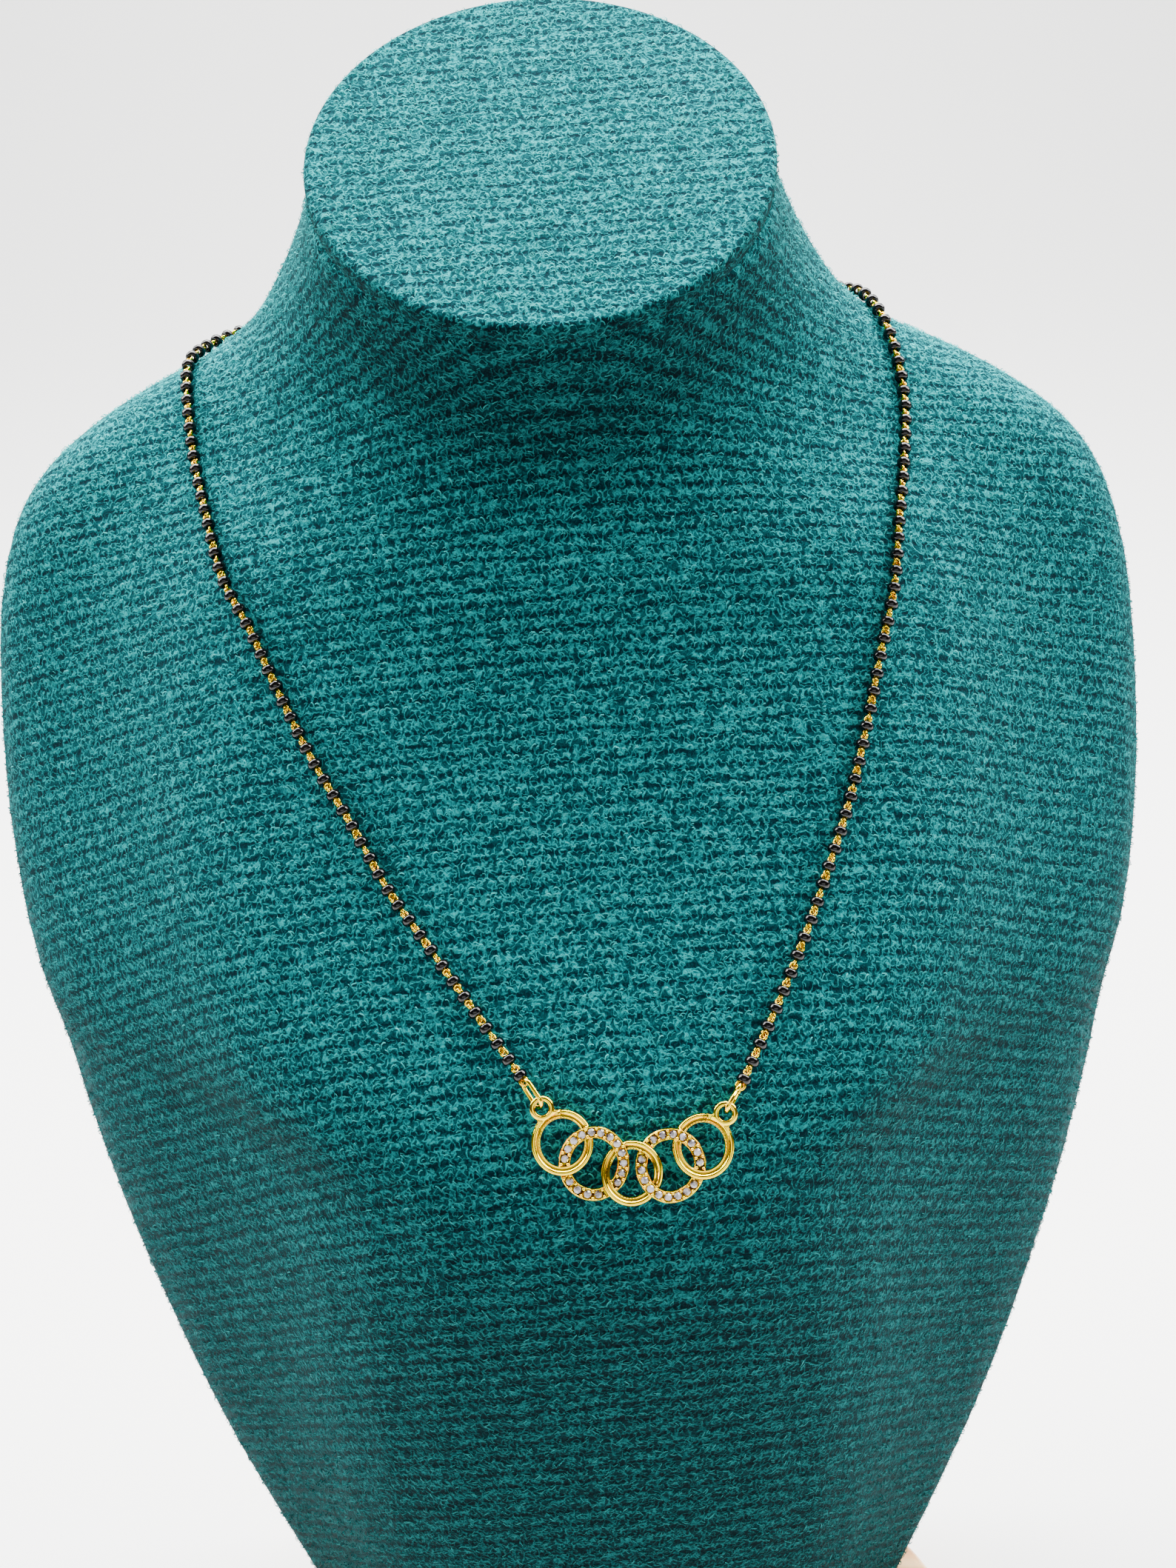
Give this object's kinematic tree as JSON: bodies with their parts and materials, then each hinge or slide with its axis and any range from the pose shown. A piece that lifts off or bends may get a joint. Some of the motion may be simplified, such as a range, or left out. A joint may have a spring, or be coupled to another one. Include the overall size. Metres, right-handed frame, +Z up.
{
  "type": "mangalsutra on a neck bust",
  "caption": "Short mangalsutra of black seed bead strands with an interlocked ring pendant set with stones, worn on a cloth covered neck bust on a wooden base.",
  "frame": {"origin": "on the underside of the wooden base, below the bust's foot and 13 mm behind the base's middle, on the surface the bust stands on", "axes": "+Z up, the front of the bust and the pendant face -Y, +X to the viewer's right when looking at the front"},
  "size_m": [0.1954, 0.1226, 0.3084],
  "materials": {
    "teal_cloth": "short pile terry cloth",
    "board": "plain beige board",
    "wood": "light wood, clear satin finish",
    "black_glass_beads": "glossy black glass",
    "gold": "polished gold",
    "clear_stone": "clear faceted stone"
  },
  "bodies": {
    "root": {"neck_bust": "teal_cloth", "neck_cap": "teal_cloth", "back_board": "board", "wooden_base": "wood", "strand_left": "black_glass_beads", "strand_right": "black_glass_beads", "jump_ring_left": "gold", "jump_ring_right": "gold", "pendant_frame": "gold", "stones_left": "clear_stone", "stones_right": "clear_stone", "clasp": "gold"}
  },
  "joints": []
}
